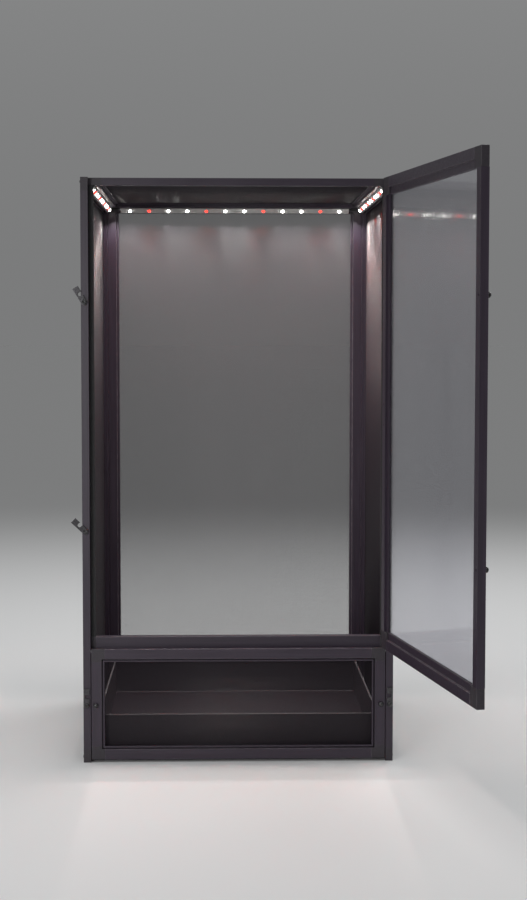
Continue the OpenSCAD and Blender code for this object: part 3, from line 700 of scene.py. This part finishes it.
# %% Channels, boards, lenses and leads
CHANNEL_ROUND = 0.4 * MM
BOARD_ROUND = 0.15 * MM
LENS_ROUND = 0.1 * MM
LENS_CREASE = 60
LENS_SHADE = 0.92
LENS_GLOWS = {"white": ((1.0, 0.98, 0.94), 20.0), "red": ((1.0, 0.03, 0.02), 5.0)}
board_finish = finish("board_lacquer", dark=(0.50, 0.50, 0.48), light=(0.58, 0.58, 0.56),
                      rough=(0.3, 0.42), grain=700, bump=0.1)
lead_finish = finish("lead_cover", dark=(0.012, 0.012, 0.013), light=(0.02, 0.02, 0.021),
                     rough=(0.5, 0.62), grain=1500, bump=0.2)
rounded("lamp_channels", "lamp_channel_tubes", tube_finish["y"], CHANNEL_ROUND)
rounded("lamp_boards", "lamp_board_strips", board_finish, BOARD_ROUND)
for tint, (colour, glow) in LENS_GLOWS.items():
    lens = finish(tint + "_lenses_glow", dark=[LENS_SHADE * c for c in colour], light=colour,
                  rough=(0.08, 0.16), grain=1500, bump=0.05)
    shader_of(lens).inputs["Emission Color"].default_value = (*colour, 1)
    shader_of(lens).inputs["Emission Strength"].default_value = glow
    rounded(tint + "_lamps", tint + "_lenses", lens, LENS_ROUND, crease=LENS_CREASE)
rounded("strip_leads", "strip_lead_wires", lead_finish, LENS_ROUND, crease=LENS_CREASE)
print("lamps glowing")

# %% [markdown]
# Each lens sits on a square lamp body. The bodies are new pieces, so their places come from the lenses:
# the point of a lens that lies lowest along the way it faces is on its board.

# %% Lamp bodies under the lenses
BODY_WIDE = 5.6 * MM
BODY_HIGH = 0.6 * MM
BODY_ROUND = 0.15 * MM
REAR_ROW = 8 * MM
LAMP_NODES = ("white_lamps", "red_lamps")
boards_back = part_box("lamp_boards")[1].y


def lamp_facing(middle):
    """The way a lamp faces: in from the nearest wall and down."""
    if boards_back - middle.y < REAR_ROW:
        return Vector((0, -1, -1)).normalized()
    return Vector((math.copysign(1, -middle.x), 0, -1)).normalized()


def lamp_body(shape, points):
    """Adds a square body with its underside on the board, below one lens."""
    low, high = corners_of(points)
    middle = (low + high) / 2
    facing = lamp_facing(middle)
    sunk = middle.dot(facing) - min(point.dot(facing) for point in points)
    facing_turn = facing.to_track_quat("Z", "Y").to_matrix().to_4x4()
    seat = Matrix.Translation(middle - facing * sunk) @ facing_turn
    size = Matrix.Diagonal((BODY_WIDE, BODY_WIDE, BODY_HIGH, 1))
    made = bmesh.ops.create_cube(shape, size=1.0)["verts"]
    place = seat @ Matrix.Translation((0, 0, BODY_HIGH / 2)) @ size
    bmesh.ops.transform(shape, matrix=place, verts=made)


def lamp_bodies():
    shape = bmesh.new()
    for node in LAMP_NODES:
        lenses = loose_parts(frame["nodes"][node].data)
        for points in lenses:
            lamp_body(shape, points)
        print("lamp bodies under", node + ":", len(lenses))
    bmesh.ops.bevel(shape, geom=list(shape.edges), offset=BODY_ROUND, segments=2,
                    profile=ROUND_PROFILE, affect="EDGES")
    mesh = bpy.data.meshes.new("lamp_bodies")
    shape.to_mesh(mesh)
    shape.free()
    mesh.materials.append(board_finish)
    bodies = bpy.data.objects.new("lamp_bodies", mesh)
    bpy.context.scene.collection.objects.link(bodies)
    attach(bodies, "cage")


lamp_bodies()

# %% [markdown]
# A small glowing lens is a hard way to light a room: most rays miss it, and the picture turns grainy.
# So each lens also has a small disc lamp just off it, in its own colour, which throws the pools of
# white and red light that lie on the screens and frames near the strips. The discs are tipped further
# down than the lenses and have a narrowed beam, so that the underside of the top stays dark.

# %% The light that the lenses give
LENS_LIGHTS = {"white_lamps": ((1.0, 0.96, 0.92), 0.072), "red_lamps": ((1.0, 0.06, 0.03), 0.028)}
LENS_WIDE = 4 * MM
LENS_OFF = 3 * MM
LENS_BEAM = math.radians(125)
DOWN = Vector((0, 0, -1))


def lens_light(node, number, points):
    """A disc lamp just off one lens."""
    low, high = corners_of(points)
    middle = (low + high) / 2
    light = bpy.data.lights.new("%s_%d" % (node, number), "AREA")
    light.shape = "DISK"
    light.size = LENS_WIDE
    light.spread = LENS_BEAM
    light.color, light.energy = LENS_LIGHTS[node]
    facing = lamp_facing(middle)
    hang(light, middle + facing * LENS_OFF, facing + DOWN)


for node in LAMP_NODES:
    lenses = loose_parts(frame["nodes"][node].data)
    for number, points in enumerate(lenses):
        lens_light(node, number, points)
    print(node, "light:", len(lenses), "discs")

# %% [markdown]
# ## Light controller
# The controller is a small moulded box with a three-way slide and a round inlet, on the rear top rail.
# A plain box would do from the front, where it is hidden, but the cage is seen from every side. The box
# and its lid are grained black moulding, and the slide and the inlet are smoother.

# %% Controller
CASE_ROUND = 0.7 * MM
LID_ROUND = 0.5 * MM
SLIDE_ROUND = 0.4 * MM
INLET_ROUND = 0.2 * MM
case_finish = finish("controller_moulding", dark=(0.016, 0.016, 0.017), light=(0.026, 0.026, 0.027),
                     rough=(0.45, 0.6), grain=2200, bump=0.35)
switch_finish = finish("switch_moulding", dark=(0.012, 0.012, 0.012), light=(0.02, 0.02, 0.02),
                       rough=(0.3, 0.42), grain=1800, bump=0.15)
rounded("controller_body", "controller_case", case_finish, CASE_ROUND, segments=3)
rounded("controller_cover", "controller_lid", case_finish, LID_ROUND, segments=3)
rounded("mode_switch", "mode_slide_button", switch_finish, SLIDE_ROUND, segments=3)
rounded("power_inlet", "power_inlet_barrel", switch_finish, INLET_ROUND)
print("controller dressed")
